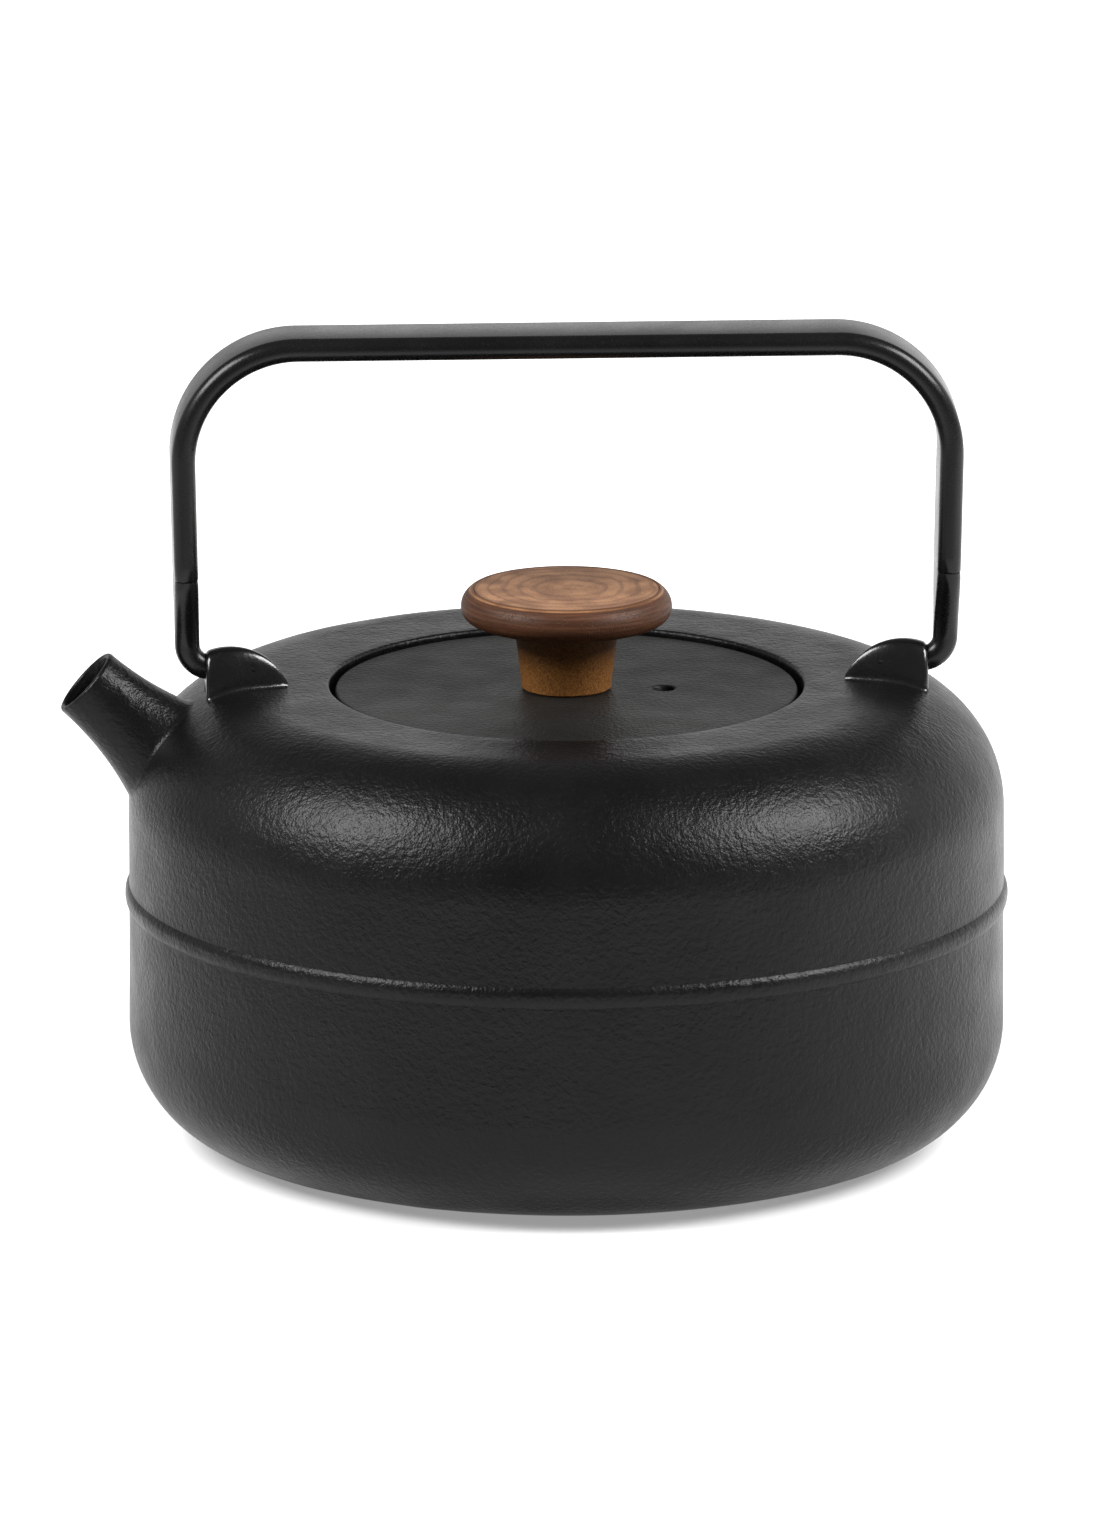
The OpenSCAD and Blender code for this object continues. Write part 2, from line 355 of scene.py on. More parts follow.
def weather(piece):
    """Pushes a cast piece's faces in by their unevenness. The standing face stays flat."""
    mesh = piece.data
    moves = []
    for vertex in mesh.vertices:
        depth = unevenness(vertex.co / MM) if vertex.co.z > standing_z * MM else 0
        moves.append(vertex.co - vertex.normal * depth * MM)
    for vertex, spot in zip(mesh.vertices, moves):
        vertex.co = spot


body = turned("pot_body", body_outline(), 320)
weather(body)
print("body", len(body.data.vertices), "points")

# %% [markdown]
# ## The spout
# The spout is a short trumpet that stands on the shoulder at a slant. Its foot has to
# follow the shoulder all the way round, which a boolean would do with a ragged row of
# slivers. So each line down the trumpet is followed until it meets the shoulder, whose
# distance is a formula, and it leaves through a small fillet that lies on the pot. The
# same trick gives the lugs their feet.

# %% Distance to the pot


def above_body(point):
    """How far a point lies outside the pot's outside, in millimetres."""
    x, y, z = point
    r = math.hypot(x, y)
    corner_r = body_r - shoulder_round
    corner_z = body_h - shoulder_round
    if r < corner_r:
        return z - body_h
    if z < corner_z:
        return r - body_r
    return math.hypot(r - corner_r, z - corner_z) - shoulder_round


def body_normal(point):
    """The direction straight out of the pot at a point near its outside."""
    step = 0.01
    slope = []
    for axis in range(3):
        ahead = Vector(point)
        ahead[axis] += step
        slope.append(above_body(ahead) - above_body(point))
    return Vector(slope).normalized()


def onto_body(point, sink):
    """The point nearest to this one that lies sink below the pot's outside."""
    spot = Vector(point)
    for _ in range(3):
        spot -= body_normal(spot) * above_body(spot)
    return spot - body_normal(spot) * (sink + unevenness(spot))


# %% Feet that follow the pot


def with_foot(path, steps, fillet):
    """A line that comes down to the pot, cut off a fillet's length before it meets the pot.

    path is a list of points from outside the pot to inside it. The result is steps + 1
    points on the line, the place where it would meet the pot, and the fillet's length."""
    path = [Vector(p) for p in path]
    heights = [above_body(p) for p in path]
    last = next(i for i, h in enumerate(heights) if h <= 0)
    share = heights[last - 1] / (heights[last - 1] - heights[last])
    meet = path[last - 1].lerp(path[last], share)
    kept = path[:last] + [meet]
    lengths = [0.0]
    for a, b in zip(kept, kept[1:]):
        lengths.append(lengths[-1] + (b - a).length)
    fillet = min(fillet, lengths[-1] * 0.45)
    reach = lengths[-1] - fillet

    def at(distance):
        i = next((k for k, v in enumerate(lengths) if v >= distance), len(lengths) - 1)
        i = max(i, 1)
        span = max(lengths[i] - lengths[i - 1], 1e-9)
        return kept[i - 1].lerp(kept[i], (distance - lengths[i - 1]) / span)

    return [at(reach * k / steps) for k in range(steps + 1)], meet, fillet


foot_steps = 6
foot_sink = 0.02
root_sink = 0.5


def lead_out(points, meet, outward, fillet):
    """Adds the fillet from the last of points, round meet, to the pot's surface."""
    normal = body_normal(meet)
    outward = outward - normal * outward.dot(normal)
    end = onto_body(meet + outward.normalized() * fillet, foot_sink)
    start = points[-1]
    foot = []
    for k in range(1, foot_steps + 1):
        t = k / foot_steps
        foot.append(start * (1 - t) ** 2 + meet * 2 * t * (1 - t) + end * t * t)
    under = onto_body(end, root_sink)
    return points + foot + [under]


# %% The spout's trumpet
spout_rise = math.radians(42)
mouth = Vector((-96.7, 0, 94.5))
spout_down = Vector((math.cos(spout_rise), 0, -math.sin(spout_rise)))
spout_up = Vector((math.sin(spout_rise), 0, math.cos(spout_rise)))
spout_side = Vector((0, 1, 0))
mouth_outer = 15.1 / 2
spout_flare = 62
spout_lip = 1.3
channel_r = 5.5
channel_depths = (22, 19, 16, 13, 10, 7, 5, 3.5, 2.2, 1.2)
channel_mouth = 6
spout_around = 96
foot_fillet = 0.9


def spout_radius(depth):
    """Outside radius of the trumpet at a depth below its mouth."""
    return mouth_outer + spout_flare - math.sqrt(spout_flare ** 2 - depth ** 2)


def on_spout(depth, radius, angle):
    around = spout_up * math.cos(angle) + spout_side * math.sin(angle)
    return mouth + spout_down * depth + around * radius


def spout_line(angle):
    """One line of the spout: up the channel, over the lip, down the trumpet, out on the pot."""
    lip = spout_lip / 2
    inner = [on_spout(d, channel_r + 0.75 * max(0, 1 - d / channel_mouth) ** 1.5, angle)
             for d in channel_depths]
    rim = []
    for a in range(0, 181, 20):
        c, s = math.cos(math.radians(a)), math.sin(math.radians(a))
        rim.append(on_spout(lip - lip * s, mouth_outer - lip - lip * c, angle))
    path = [on_spout(lip + 0.2 * k, spout_radius(lip + 0.2 * k), angle) for k in range(150)]
    points, meet, fillet = with_foot(path, 24, foot_fillet)
    centre = mouth + spout_down * (meet - mouth).dot(spout_down)
    return inner + rim + lead_out(points, meet, meet - centre, fillet)


spout_lines = [spout_line(2 * math.pi * k / spout_around) for k in range(spout_around)]
spout = skin("pouring_spout", [list(ring) for ring in zip(*spout_lines)], closed=True)

# The channel goes on through the pot's wall, a hair wider so that no faces coincide.
channel_rings = [[on_spout(d, channel_r + 0.05, 2 * math.pi * k / 48) for k in range(48)]
                 for d in (14, 34)]
cut(body, skin("channel_tool", channel_rings, cap_first=True, cap_last=True))
place(body, "pot", "body_floor", "body_foot", "body_wall", "body_shoulder", "body_top",
      "mouth_lip", "body_ledge", slot="pot_iron")
place(spout, "pot", "spout", slot="pot_iron")

# %% [markdown]
# ## The lugs
# A lug is a fin whose round back rises from the flat top to a flat outer face, and the
# bail's pin goes into that face. It is drawn as sections across the fin: each is an
# arch with its two feet led out over fillets, and the last one is the face with its
# hole. A sculpted lump would look right too, but the hole has to sit on the hinge's axis.

# %% The lugs
lug_high = box_mm("lug_right")[1]
lug_face = lug_high.x
lug_top = lug_high.z
lug_half = lug_high.y
lug_back_r = 12.6
lug_back_x = lug_face - 5
lug_tip = lug_back_x - lug_back_r
lug_thin = 0.25
lug_edge = 0.9
pivot_z = 97
pin_hole_r, rod_hole_r = 2.38, 2.75
rod_hole_deep, pin_hole_deep = 1.5, 9.8
lug_rings, edge_rings = 26, 5
arch_steps = 22


def lug_back_z(x):
    """Height of the fin's back."""
    return lug_top - lug_back_r + math.sqrt(max(lug_back_r ** 2 - (x - lug_back_x) ** 2, 0))


def lug_half_width(x):
    """Half the fin's thickness, which runs out towards its tip."""
    inward = min(max((lug_face - x) / (lug_face - lug_tip - 0.4), 0), 1)
    return (lug_half - lug_thin) * (1 - inward ** 1.4) + lug_thin


def lug_section(x, inset=0.0):
    """One arch across the fin, from its front foot over the back to its other foot."""
    half = lug_half_width(x) - inset
    top = lug_back_z(x) - inset
    buried = body_h - 6
    swell = 0.8
    sides = []
    for side in (-1, 1):
        path = []
        for k in range(61):
            a = math.pi / 2 * k / 60
            y = side * half * math.sin(a) ** swell
            path.append((x, y, buried + (top - buried) * math.cos(a) ** swell))
        points, meet, fillet = with_foot(path, arch_steps, foot_fillet)
        sides.append(lead_out(points, meet, Vector((0, side, 0)), fillet))
    front, rear = sides
    return front[::-1] + rear[1:]


def lug_mesh(name):
    """The fin from its tip to its face, round the face's edge and into the stepped hole."""
    first = lug_tip + 1.1
    rings = []
    for k in range(lug_rings + 1):
        t = k / lug_rings
        rings.append(lug_section(first + (lug_face - lug_edge - first) * (1 - (1 - t) ** 1.5)))
    for k in range(1, edge_rings + 1):
        a = math.pi / 2 * k / edge_rings
        rings.append(lug_section(lug_face - lug_edge + lug_edge * math.sin(a),
                                 lug_edge * (1 - math.cos(a))))
    angles = [math.atan2(p[2] - pivot_z, p[1]) for p in rings[-1]]
    hole = [(rod_hole_r + 0.15, 0), (rod_hole_r, 0.2), (rod_hole_r, rod_hole_deep),
            (pin_hole_r, rod_hole_deep + 0.1), (pin_hole_r, pin_hole_deep)]
    for r, deep in hole:
        rings.append([(lug_face - deep, r * math.cos(a), pivot_z + r * math.sin(a))
                      for a in angles])
    return skin(name, rings, cap_first=True, cap_last=True)


for side, name in ((1, "lug_right"), (-1, "lug_left")):
    lug = lug_mesh(name + "_fin")
    if side < 0:
        lug.data.transform(Matrix.Scale(-1, 4, (1, 0, 0)))
        tidy_mesh(lug)
    place(lug, "pot", name, slot="pot_iron")

# %% [markdown]
# ## The bail
# The bail is flat bar with rolled round edges, bent cold round two big corners. Below
# a seam on each upright the smith has drawn the bar down to a round rod and turned it
# inward. A curve with a bevel profile could draw the bar, but its section has to change
# from flat to round on the way, so the section is a function of two numbers: the
# radius of its edge, and half the length of its flat.

# %% The bail's line and its section
bar_high = box_mm("handle_strap")[1]
bar_half = 16 / 2
bar_edge = 4.8 / 2
bar_flat = bar_half - bar_edge
corner_r = 23
lean = math.radians(1.3)
top_z = bar_high.z - bar_edge
corner_x = bar_high.x - bar_edge - corner_r
corner_z = top_z - corner_r
seam_z = 116.8
seam_drop = corner_z - seam_z
rod_r = 2.5
pin_r = 2.3
bend_r = 4.8
bend_z = pivot_z + bend_r
rod_x = corner_x + corner_r - (corner_z - bend_z) * math.tan(lean)
pin_end = lug_face - 9.6
bar_around = 40
corner_steps, upright_steps, taper_steps, bend_steps = 36, 8, 16, 14
worn = 0.22


def bar_ring(x, z, turn, edge, flat):
    """The bar's section at a place on its line. turn is the direction of its outer face."""
    ring = []
    for k in range(bar_around):
        a = 2 * math.pi * (k + 0.5) / bar_around
        out = edge * math.cos(a)
        y = edge * math.sin(a) + math.copysign(flat, math.sin(a))
        ring.append((x + out * math.cos(turn), y, z + out * math.sin(turn)))
    return ring


def upright_at(drop):
    """A place on the right upright, by its distance below the corner."""
    x = corner_x + corner_r * math.cos(lean) - drop * math.sin(lean)
    z = corner_z - corner_r * math.sin(lean) - drop * math.cos(lean)
    return x, z


def strap_rings():
    """The strap from seam to seam. Its ends are rounded a little, so the seams show."""
    spots = [(x, top_z, math.pi / 2) for x in range(0, int(corner_x), 3)]
    for k in range(corner_steps + 1):
        turn = math.pi / 2 - (math.pi / 2 + lean) * k / corner_steps
        spots.append((corner_x + corner_r * math.cos(turn),
                      corner_z + corner_r * math.sin(turn), turn))
    for k in range(1, upright_steps + 1):
        spots.append((*upright_at((seam_drop - 0.3) * k / upright_steps), -lean))
    right = [bar_ring(*spot, bar_edge, bar_flat) for spot in spots]
    for back_up, loss in ((0.08, worn * 0.5), (0, worn)):
        spot = upright_at(seam_drop - back_up)
        right.append(bar_ring(*spot, -lean, bar_edge - loss, bar_flat))
    left = [[(-x, y, z) for x, y, z in ring] for ring in right[:0:-1]]
    return left + right


strap = skin("bail_strap", strap_rings(), cap_first=True, cap_last=True)
place(strap, "handle", "handle_strap", slot="handle_iron")

# %% The bail's forged ends


def end_rings():
    """The right end: from the seam it narrows to the rod, bends inward and ends in the pin."""
    rings = [bar_ring(*upright_at(seam_drop), -lean, bar_edge - 0.25, bar_flat),
             bar_ring(*upright_at(seam_drop + 0.1), -lean, bar_edge - 0.1, bar_flat)]
    start_x, start_z = upright_at(seam_drop + 0.3)
    for k in range(1, taper_steps + 1):
        t = k / taper_steps
        x = start_x + (rod_x - start_x) * t
        z = start_z + (bend_z - start_z) * t
        ease = t * t * (3 - 2 * t)
        narrow = 0.35 * t + 0.65 * ease
        rings.append(bar_ring(x, z, -lean * (1 - t), bar_edge + (rod_r - bar_edge) * t,
                              bar_flat * (1 - narrow)))
    for k in range(1, bend_steps + 1):
        turn = -math.pi / 2 * k / bend_steps
        rings.append(bar_ring(rod_x - bend_r + bend_r * math.cos(turn),
                              bend_z + bend_r * math.sin(turn), turn, rod_r, 0))
    inward = -math.pi / 2
    for x in (lug_face - 0.4, pin_end + 0.5):
        rings.append(bar_ring(x, pivot_z, inward, pin_r, 0))
    rings.append(bar_ring(pin_end, pivot_z, inward, pin_r - 0.5, 0))
    return rings


for side, name in ((1, "handle_end_right"), (-1, "handle_end_left")):
    rings = [[(side * x, y, z) for x, y, z in ring] for ring in end_rings()]
    end = skin(name.replace("handle_end", "bail_end"), rings, cap_first=True, cap_last=True)
    place(end, "handle", name, slot="handle_iron")

# %% [markdown]
# ## The lid
# The lid is a flat casting that drops into the recess, with a skirt below that keeps
# it from sliding off when the pot is tipped. Its vent is drilled, so it is cut here too,
# with a tool that is a little wider at the top: an edge that isn't broken looks drawn on.

# %% The lid
lid_high = box_mm("lid_plate")[1]
lid_r = lid_high.x
lid_top = lid_high.z
lid_rim = ledge_z + 0.8
skirt_low, skirt_high = box_mm("lid_skirt")
skirt_r = skirt_high.x
skirt_t = 2.2
lid_edge = 0.7
drilled_r = 2.25
vent = Matrix.Rotation(math.radians(-5), 3, "Z") @ Vector((19.5, 0, 0))


def lid_outline():
    top = line((0.01, lid_top), (lid_r - lid_edge, lid_top), 1.5)
    top += arc((lid_r - lid_edge, lid_top - lid_edge), lid_edge, 90, 0, 6)
    rim = arc((lid_r - 0.4, lid_rim + 0.4), 0.4, 0, -90, 3)
    rim += line((lid_r - 1, lid_rim), (skirt_r + 0.5, lid_rim), 2)
    skirt = line((skirt_r, lid_rim - 0.5), (skirt_r, skirt_low.z + 1), 1.5)
    skirt += arc((skirt_r - 1, skirt_low.z + 1), 1, 0, -90, 4)
    skirt += line((skirt_r - 1.2, skirt_low.z), (skirt_r - skirt_t, skirt_low.z + 0.3), 1)
    skirt += line((skirt_r - skirt_t, skirt_low.z + 0.6), (skirt_r - skirt_t, lid_rim - 0.8), 1.5)
    skirt += line((skirt_r - 3, lid_rim), (0.01, lid_rim), 3)
    return top + rim + skirt + [(0.01, lid_rim)]


def drill(name, x, y, low, high, radius, flare, around=48):
    """A tool for a hole that opens out by flare at its top."""
    outline = [(radius, low), (radius, high - flare), (radius + flare * 0.3, high - flare * 0.4),
               (radius + flare, high), (radius + flare, high + 3)]
    turn = [2 * math.pi * k / around for k in range(around)]
    rings = [[(x + r * math.cos(a), y + r * math.sin(a), z) for a in turn] for r, z in outline]
    return skin(name, rings, cap_first=True, cap_last=True)


lid = turned("lid_casting", lid_outline(), 288)
weather(lid)
cut(lid, drill("vent_tool", vent.x, vent.y, lid_rim - 3, lid_top - 0.05, drilled_r, 0.45))
cut(lid, drill("screw_tool", 0, 0, lid_rim - 3, lid_top + 2, drilled_r, 0))
place(lid, "lid", "lid_plate", "lid_skirt", slot="lid_iron")

# %% [markdown]
# ## The knob
# The knob is turned from a branch of a dark fruit wood, with the pith near the middle
# of its head. On a lathe everything is an outline, and so it is here: a thick round
# head, a hollow neck under it, and a stem that narrows to the lid.

# %% The knob
knob_low, knob_high = box_mm("knob")
knob_r = knob_high.x
knob_top = knob_high.z
head_h = 6.8
head_low = knob_top - head_h
head_under_r = 3.2
fillet_r = 1.2
stem_r = 9.0
neck_r = 10.6
insert_r = 4.0
flat_r = 18.9


def knob_outline():
    """Flat top with a fine groove at its edge, bulging side, hollow neck, stem and bore."""
    rise = knob_top - head_low - head_under_r
    bulge = knob_r - flat_r
    side_r = (bulge ** 2 + rise ** 2) / (2 * bulge)
    crease = math.degrees(math.asin(rise / side_r))
    head = line((0.01, knob_top - 0.2), (flat_r - 0.6, knob_top - 0.05), 1.2)
    head += [(flat_r - 0.5, knob_top - 0.05), (flat_r - 0.3, knob_top - 0.25),
             (flat_r - 0.05, knob_top)]
    head += arc((knob_r - side_r, head_low + head_under_r), side_r, crease, 3, 12)
    head += arc((knob_r - head_under_r, head_low + head_under_r), head_under_r, 0, -90, 12)
    under = line((knob_r - head_under_r - 0.5, head_low), (neck_r + fillet_r, head_low), 1.2)
    under += arc((neck_r + fillet_r, head_low - fillet_r), fillet_r, 90, 180, 5)
    stem = []
    for k in range(1, 13):
        t = k / 13
        z = head_low - fillet_r + (knob_low.z + 0.3 - head_low + fillet_r) * t
        stem.append((neck_r + (stem_r - neck_r) * t ** 0.8, z))
    stem += [(stem_r, knob_low.z + 0.3), (stem_r - 0.3, knob_low.z)]
    insert_end, bore_end = knob_low.z + 9.8, knob_low.z + 12.5
    bore = [(insert_r, knob_low.z), (insert_r, insert_end), (2.5, insert_end),
            (2.5, bore_end), (0.01, bore_end)]
    return head + under + stem + bore


knob = turned("knob_turning", knob_outline(), 192)
place(knob, "lid", "knob", slot="turned_wood")

# %% [markdown]
# ## What holds the knob
# A brass insert is pressed into the stem, and a pan head screw with a washer comes up
# from under the lid. They show only when the lid is off, or when the screw is undone, so
# plain cylinders would nearly do. But an insert without its knurl looks like a bush, and
# the knurl costs no more than a radius that goes up and down round each ring.

# %% The insert
insert_low, insert_high = box_mm("knob_insert")
insert_bore_r = 2.03
knurl_teeth, knurl_depth = 36, 0.22


def knurled(name, radius, low, high, bore):
    """A bush with a knurl round its upper and lower half and a plain groove between."""
    groove = (high - low) * 0.12
    middle = (low + high) / 2
    levels = [(low, 0.35), (low + 0.35, 0), (middle - groove, 0), (middle - groove + 0.3, 0.5),
              (middle + groove - 0.3, 0.5), (middle + groove, 0), (high - 0.35, 0), (high, 0.35)]
    around = knurl_teeth * 4
    turn = [2 * math.pi * k / around for k in range(around)]
    rings = []
    for z, drop in levels:
        ring = []
        for k, a in enumerate(turn):
            tooth = knurl_depth if drop else knurl_depth * abs((k % 4) / 2 - 1)
            r = radius - drop - tooth
            ring.append((r * math.cos(a), r * math.sin(a), z))
        rings.append(ring)
    for z, r in ((high, bore + 0.3), (high - 0.3, bore), (low + 0.3, bore), (low, bore + 0.3)):
        rings.append([(r * math.cos(a), r * math.sin(a), z) for a in turn])
    return skin(name, rings, closed=True)


insert = knurled("brass_insert", insert_high.x, insert_low.z, insert_high.z, insert_bore_r)
place(insert, "lid", "knob_insert", slot="insert_brass")

# %% The washer
washer_low, washer_high = box_mm("knob_washer")
washer_r, washer_hole_r, broken = washer_high.x, 2.25, 0.15
washer_outline = [(washer_hole_r, washer_low.z + 0.1), (washer_hole_r + broken, washer_low.z),
                  (washer_r - broken, washer_low.z), (washer_r, washer_low.z + broken),
                  (washer_r, washer_high.z - broken), (washer_r - broken, washer_high.z),
                  (washer_hole_r + broken, washer_high.z), (washer_hole_r, washer_high.z - 0.1)]
washer = turned("steel_washer", washer_outline, 96)
place(washer, "lid", "knob_washer", slot="screw_steel")

# %% The screw
screw_low, screw_high = box_mm("knob_screw")
thread_pitch = 0.7
thread_r, core_r = 1.94, 1.62
pan_round = 1.1


def screw_outline():
    """Pan head below, then the shank with its thread as a row of ridges."""
    head_r = screw_high.x
    head_top = washer_low.z
    outline = [(0.01, screw_low.z), (head_r - pan_round, screw_low.z)]
    outline += arc((head_r - pan_round, screw_low.z + pan_round), pan_round, -80, 0, 6)
    outline += [(head_r, head_top), (1.9, head_top)]
    z = head_top + 0.2
    while z + thread_pitch < screw_high.z - 0.8:
        outline += [(core_r, z), (thread_r, z + thread_pitch * 0.45),
                    (thread_r, z + thread_pitch * 0.55)]
        z += thread_pitch
    tip = [(1.5, screw_high.z - 0.5), (1.1, screw_high.z), (0.01, screw_high.z)]
    return outline + [(core_r, z)] + tip


screw = turned("pan_screw", screw_outline(), 72)
half_long, half_wide, slot_deep = 2.3, 0.5, 1.4
slot_corners = [(-half_long, -half_wide), (half_long, -half_wide),
                (half_long, half_wide), (-half_long, half_wide)]
slot_levels = [(screw_low.z - 1, 1), (screw_low.z, 1), (screw_low.z + slot_deep, 0.55)]
for quarter in (0, 90):
    swing = Matrix.Rotation(math.radians(quarter), 3, "Z")
    slot_rings = [[swing @ Vector((x * share, y, z)) for x, y in slot_corners]
                  for z, share in slot_levels]
    cut(screw, skin("slot_tool", slot_rings, cap_first=True, cap_last=True))
place(screw, "lid", "knob_screw", slot="screw_steel")

# %% [markdown]
# ## The infuser
# The infuser is made of thin stainless sheet: a drawn ring, a rolled wall with rows of
# staggered holes and a punched bottom. Cutting hundreds of holes leaves long thin
# faces that shade badly on a round wall. So each hole of the wall is a cell of its own,
# eight quads round the hole, and the cells of neighbouring rows share their corners.

# %% The infuser's wall
wall_low, wall_high = box_mm("infuser_wall")
rim_low, rim_high = box_mm("infuser_rim")
base_low, base_high = box_mm("infuser_base")
sheet = rim_high.z - rim_low.z
infuser_r = wall_high.x
infuser_columns = 84
infuser_rows = 9
punch_r = 0.9


def on_wall(work, turn, z, r):
    return work.verts.new(Vector((r * math.cos(turn), r * math.sin(turn), z)) * MM)


def punched_cell(work, turn, z, pitch, tall):
    """One hole with its share of the sheet round it, on both faces of the sheet."""
    faces = {}
    for r in (infuser_r, infuser_r - sheet):
        edge, hole = [], []
        for k in range(8):
            u, v = math.cos(math.pi / 4 * k), math.sin(math.pi / 4 * k)
            big = max(abs(u), abs(v))
            edge.append(on_wall(work, turn + u / big * pitch / 2, z + v / big * tall / 2, r))
            hole.append(on_wall(work, turn + u * punch_r / infuser_r, z + v * punch_r, r))
        faces[r] = edge, hole
    (edge, hole), (back_edge, back_hole) = faces.values()
    for k in range(8):
        n = (k + 1) % 8
        work.faces.new((edge[k], edge[n], hole[n], hole[k]))
        work.faces.new((back_edge[n], back_edge[k], back_hole[k], back_hole[n]))
        work.faces.new((hole[k], hole[n], back_hole[n], back_hole[k]))


def infuser_side():
    """The sheet with its staggered holes, and the plain bands above and below them."""
    work = bmesh.new()
    pitch = 2 * math.pi / infuser_columns
    low, high = wall_low.z + 3, wall_high.z - 5
    tall = (high - low) / infuser_rows
    for row in range(infuser_rows):
        for column in range(infuser_columns):
            turn = pitch * (column + 0.5 * (row % 2))
            punched_cell(work, turn, low + tall * (row + 0.5), pitch, tall)
    inner = infuser_r - sheet
    above = [(infuser_r, high), (infuser_r, wall_high.z), (inner, wall_high.z), (inner, high)]
    below = [(inner, low), (inner, wall_low.z), (infuser_r - 0.4, wall_low.z),
             (infuser_r, wall_low.z + 0.4), (infuser_r, low)]
    around = infuser_columns * 2
    for outline in (above, below):
        rings = [[on_wall(work, pitch / 2 * k, z, r) for k in range(around)] for r, z in outline]
        for one, two in zip(rings, rings[1:]):
            for k in range(around):
                n = (k + 1) % around
                work.faces.new((one[k], one[n], two[n], two[k]))
    mesh = bpy.data.meshes.new("infuser_side")
    work.to_mesh(mesh)
    work.free()
    piece = bpy.data.objects.new("infuser_side", mesh)
    bpy.context.scene.collection.objects.link(piece)
    tidy_mesh(piece)
    return piece


sieve = infuser_side()
place(sieve, "infuser", "infuser_wall", slot="infuser_steel")

# %% The infuser's ring and bottom
ring_inner = infuser_r - sheet
ring_round = 0.3
ring_outline = [(ring_inner, rim_low.z), (ring_inner, rim_high.z - ring_round)]
ring_outline += arc((ring_inner + ring_round, rim_high.z - ring_round), ring_round, 180, 90, 3)
ring_outline += arc((rim_high.x - sheet / 2, rim_high.z - sheet / 2), sheet / 2, 90, -90, 8)
ring = turned("infuser_ring", ring_outline, 192)
place(ring, "infuser", "infuser_rim", slot="infuser_steel")

bottom_r = base_high.x
bottom_outline = [(0.01, base_low.z), (bottom_r - 0.3, base_low.z), (bottom_r, base_low.z + 0.3),
                  (bottom_r, base_high.z), (0.01, base_high.z)]
bottom = turned("infuser_bottom", bottom_outline, 144)
drain_r = 2
drain_gap = 10
for ring_number in (1, 2, 3):
    for hole in range(6 * ring_number):
        turn = math.radians(60 / ring_number * hole)
        far = drain_gap * ring_number
        x, y = far * math.cos(turn), far * math.sin(turn)
        cut(bottom, drill("drain_tool", x, y, base_low.z - 1, base_high.z, drain_r, 0, 24))
place(bottom, "infuser", "infuser_base", slot="infuser_steel")

# %% [markdown]
# ## Finishes
# The iron is black all over, so what tells its pieces apart is how they break up the
# light. The pot has the orange peel of a sand casting under its coat, the lid a finer
# and duller skin, and the bail the smooth sheen of drawn bar. Casting marks follow no
# direction, so plain noise fits, laid in layers: broad waves, the peel, and a fine grit.

# %% Iron


def paint(tone, share=1.0):
    """A tone, or a share of it, as an opaque colour."""
    return (*(t * share for t in tone), 1)


def dark_iron(name, tone, gloss, waves, peel, grit, lump, specular=0.2):
    """A black coated iron. gloss is its roughness, and lump the width of its orange peel.

    waves, peel and grit are the depths of the three layers of its relief."""
    f = Finish(name)
    patches = f.noise(24, 3.0)
    specks = f.noise(0.5, 1.0)
    mottled = f.blend(f.ramp(patches, 0.3, 0.7), paint(tone, 0.75), paint(tone, 1.25))
    colour = f.blend(f.ramp(specks, 0.6, 0.8) * 0.5, mottled, paint(tone, 2.2))
    rough = f.ramp(f.noise(9, 2.0), 0.2, 0.8) * 0.08 + f.ramp(specks, 0.3, 0.7) * 0.05 + gloss
    broad = f.relief(f.noise(11, 1.0), waves)
    lumps = f.relief(f.noise(lump, 2.0, 0.55), peel, under=broad)
    fine = f.relief(f.noise(0.45, 1.0), grit, under=lumps)
    return f.surface(Base_Color=colour, Roughness=rough, Normal=fine, Specular_IOR_Level=specular)


def coat(finish, *pieces):
    for piece in pieces:
        piece.data.materials.clear()
        piece.data.materials.append(finish)
    print(finish.name, "on", ", ".join(piece.name for piece in pieces))


def made(name):
    return bpy.data.objects[name]


pot_iron = dark_iron("pot_cast_iron", (0.0030, 0.0030, 0.0029), gloss=0.29, waves=0.18,
                     peel=0.20, grit=0.07, lump=1.2, specular=0.14)
lug_iron = dark_iron("lug_cast_iron", (0.0040, 0.0040, 0.0041), gloss=0.17, waves=0.06,
                     peel=0.05, grit=0.01, lump=1.6, specular=0.5)
lid_iron = dark_iron("lid_cast_iron", (0.0060, 0.0060, 0.0053), gloss=0.44, waves=0.10,
                     peel=0.22, grit=0.08, lump=1.0)
bar_iron = dark_iron("bail_bar", (0.0040, 0.0040, 0.0041), gloss=0.20, waves=0.01,
                     peel=0.01, grit=0.004, lump=0.9)
coat(pot_iron, body, spout)
coat(lug_iron, made("lug_right_fin"), made("lug_left_fin"))
coat(lid_iron, lid)
coat(bar_iron, strap, made("bail_end_right"), made("bail_end_left"))
